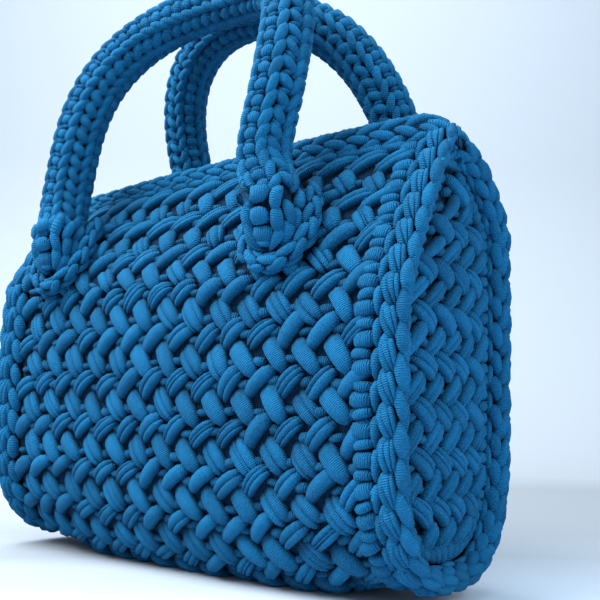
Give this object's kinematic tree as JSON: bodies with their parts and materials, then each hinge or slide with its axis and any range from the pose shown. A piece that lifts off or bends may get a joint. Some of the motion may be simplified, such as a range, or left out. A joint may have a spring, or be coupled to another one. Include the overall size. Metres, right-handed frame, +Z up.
{
  "type": "crochet handbag",
  "caption": "Small crocheted handbag of thick blue jersey yarn with an open mouth, stitched end panels and padded tube handles.",
  "frame": {"origin": "on the floor, under the middle of the box round the whole bag, handles included", "axes": "+Z up, +X along the mouth towards the end panel that the picture shows, -Y out of the front"},
  "size_m": [0.26, 0.1326, 0.3154],
  "materials": {
    "jersey_body": "matt, crocheted",
    "jersey_rim": "matt, crocheted",
    "jersey_panel": "matt, crocheted",
    "jersey_handle": "matt, crocheted"
  },
  "bodies": {
    "root": {"body_wrap": "jersey_body", "end_rim_left": "jersey_rim", "end_rim_right": "jersey_rim", "end_panel_left": "jersey_panel", "end_panel_right": "jersey_panel", "mouth_edge_front": "jersey_rim", "mouth_edge_back": "jersey_rim", "handle_front": "jersey_handle", "handle_back": "jersey_handle", "tab_border_front_left": "jersey_rim", "tab_border_front_right": "jersey_rim", "tab_border_back_left": "jersey_rim", "tab_border_back_right": "jersey_rim"}
  },
  "joints": []
}
